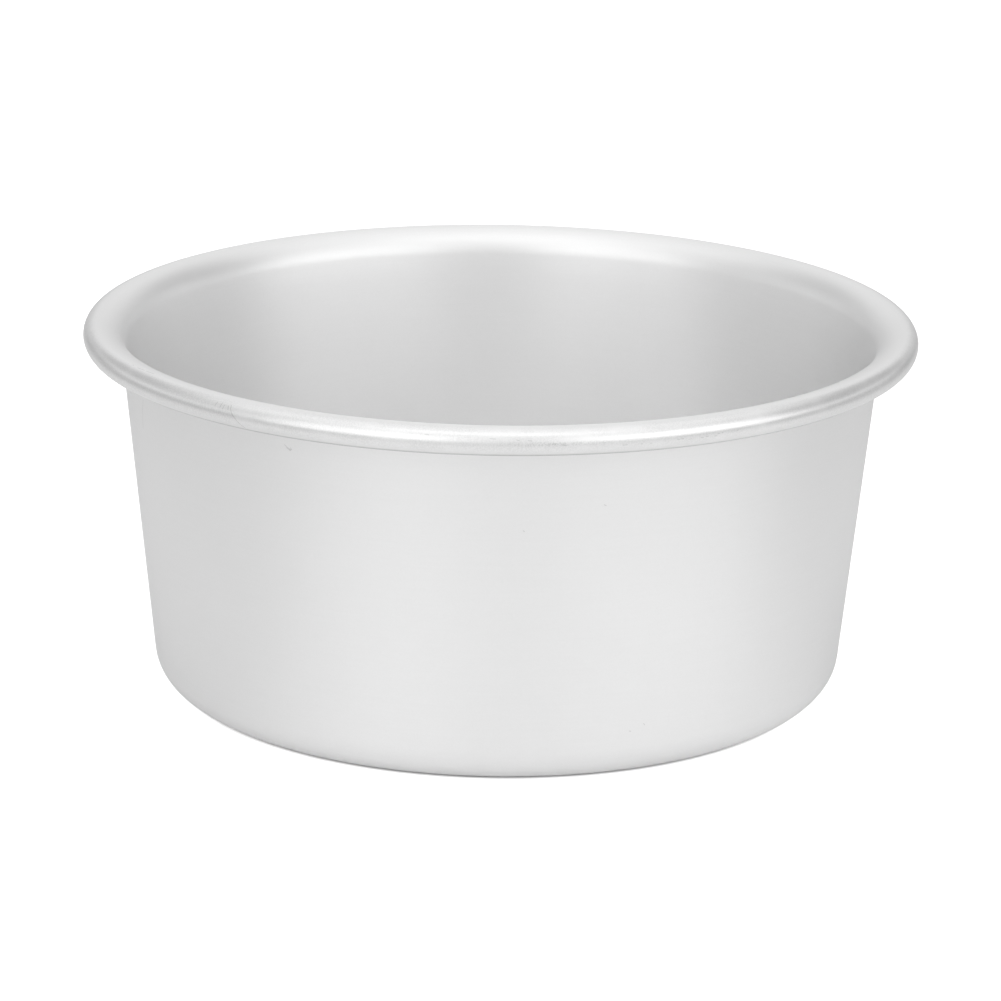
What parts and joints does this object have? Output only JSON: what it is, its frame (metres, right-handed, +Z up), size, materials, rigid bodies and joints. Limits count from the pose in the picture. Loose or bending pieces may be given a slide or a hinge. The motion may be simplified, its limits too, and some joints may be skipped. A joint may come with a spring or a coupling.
{
  "type": "round cake tin",
  "caption": "Deep round cake tin with a tapered wall, a rim rolled outwards into a hollow bead, and a lift-out base resting on a turned-in ledge.",
  "frame": {"origin": "middle of the foot, on the surface that the tin stands on", "axes": "+Z up along the tin's axis, towards the open mouth; the tin is round, so X and Y are alike"},
  "size_m": [0.168, 0.168, 0.075],
  "materials": {
    "shell_aluminium": "satin anodised, matt grey-silver, with a burnished rim",
    "base_aluminium": "satin anodised, matt grey-silver"
  },
  "bodies": {
    "tin": {"tin_body": "shell_aluminium"},
    "base": {"loose_base": "base_aluminium"}
  },
  "joints": [
    {"name": "base_lift", "type": "slide", "parent": "tin", "child": "base", "axis": [0, 0, 1], "range_m": [0, 0.08]}
  ]
}
